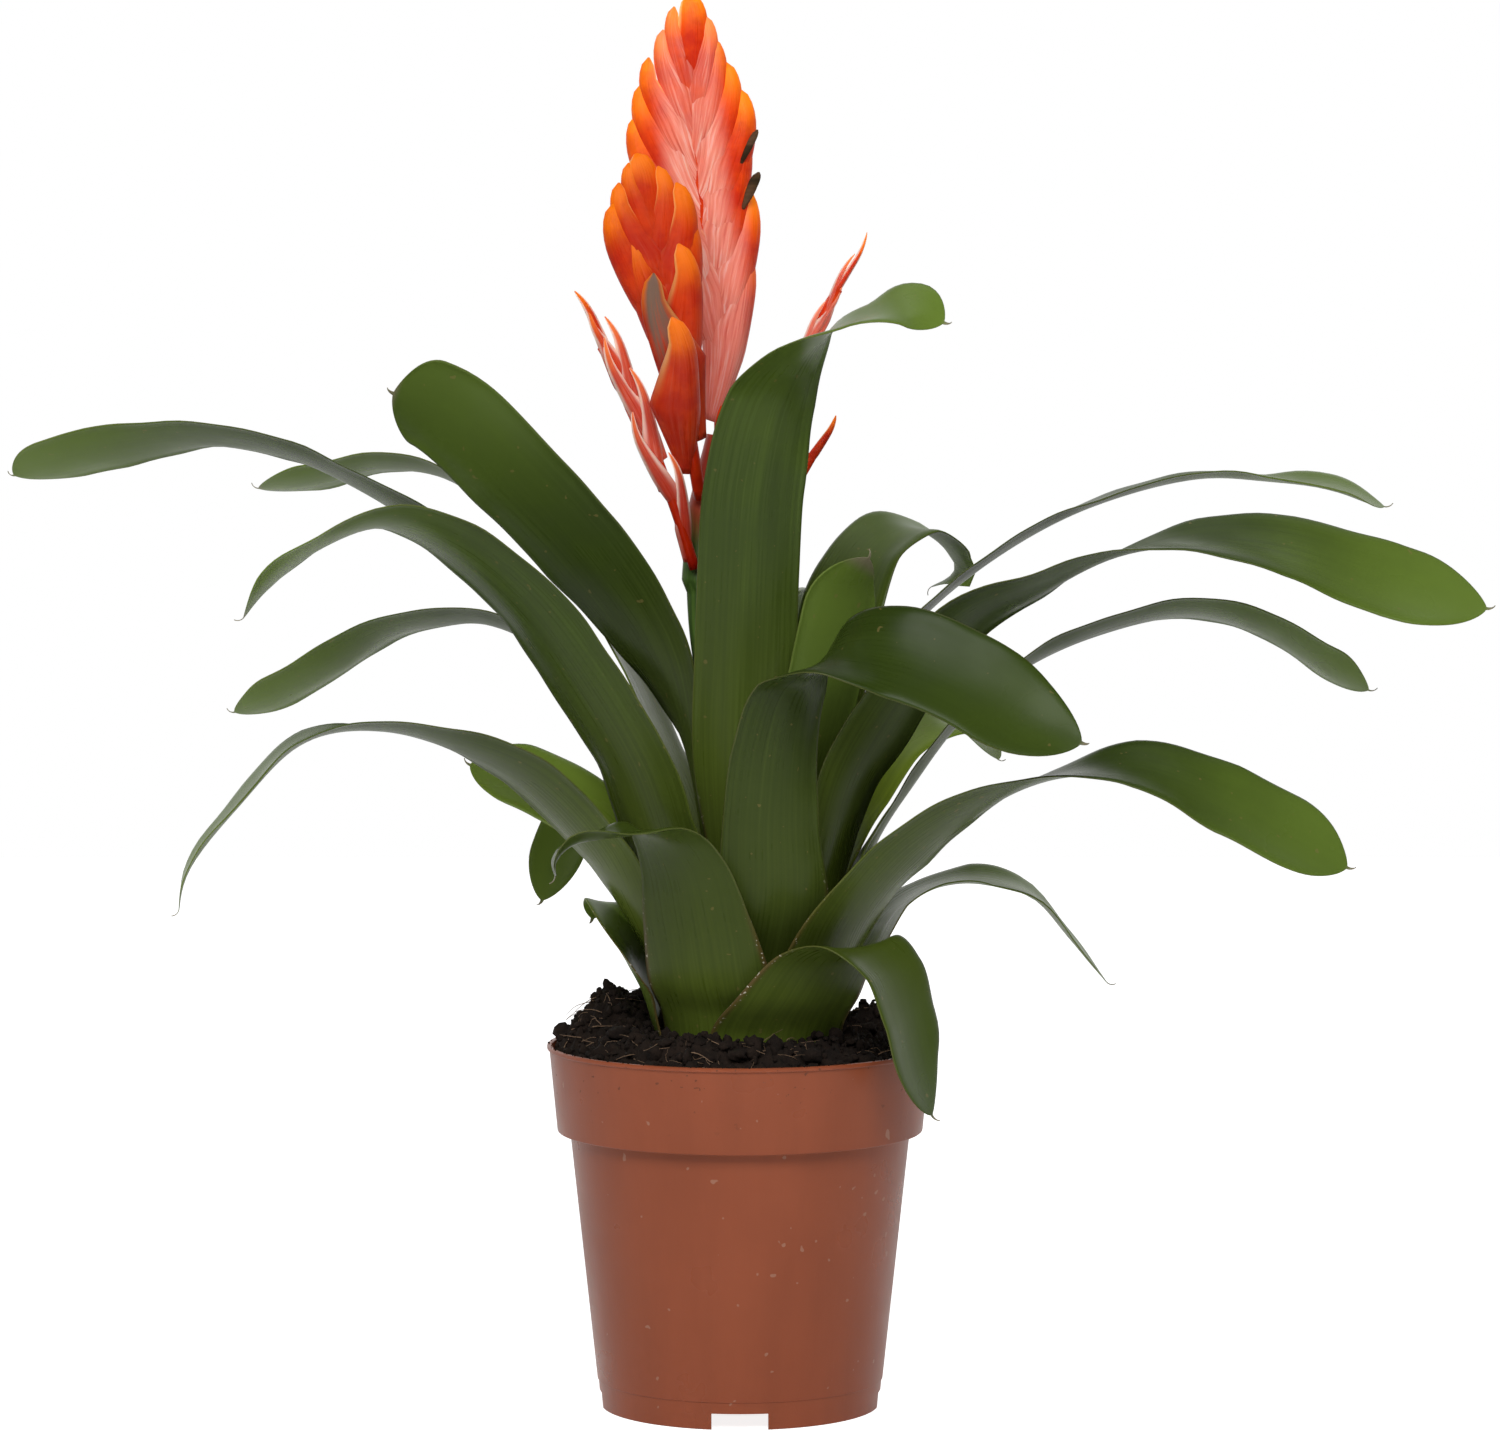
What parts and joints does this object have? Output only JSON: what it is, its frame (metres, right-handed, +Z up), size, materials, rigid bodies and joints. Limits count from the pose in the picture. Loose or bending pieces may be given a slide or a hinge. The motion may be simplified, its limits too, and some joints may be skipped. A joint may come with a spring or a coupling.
{
  "type": "potted bromeliad",
  "caption": "Flowering bromeliad with arching strap leaves and flattened orange-red flower spikes, growing in a round brown nursery pot.",
  "frame": {"origin": "on the ground under the middle of the pot's foot", "axes": "+Z up, +Y away from the viewer of the front, +X to the viewer's right"},
  "size_m": [0.4556, 0.1671, 0.4381],
  "materials": {
    "pot": "satin terracotta brown moulded plastic",
    "soil": "matt dark peat with fine fibres",
    "sheath": "pale green, matt",
    "stalk": "green, satin",
    "leaf": "dark green, waxy satin with fine lengthwise streaks",
    "bract": "orange-red to salmon, waxy gloss"
  },
  "bodies": {
    "root": {"pot": "pot", "soil": "soil", "crown": "sheath", "flower_stalk": "stalk", "leaf_front_low_right": "leaf", "leaf_back_low_left": "leaf", "leaf_right_low_thin": "leaf", "leaf_front_low_left": "leaf", "leaf_back_low": "leaf", "leaf_right_low": "leaf", "leaf_left_low_thin": "leaf", "leaf_right_middle": "leaf", "leaf_left_low_drooping": "leaf", "leaf_front_middle": "leaf", "leaf_back_middle": "leaf", "leaf_right_wide": "leaf", "leaf_left_light": "leaf", "leaf_right_light": "leaf", "leaf_left_front": "leaf", "leaf_right_thin": "leaf", "leaf_left_middle": "leaf", "leaf_upright_right": "leaf", "leaf_left_long": "leaf", "leaf_right_back": "leaf", "leaf_left_back": "leaf", "leaf_center_tall": "leaf", "leaf_back_tall": "leaf", "leaf_left_upper": "leaf", "spike_main": "bract", "spike_front_left": "bract", "spike_small_left": "bract", "spike_right_back": "bract", "spike_small_right": "bract"}
  },
  "joints": []
}
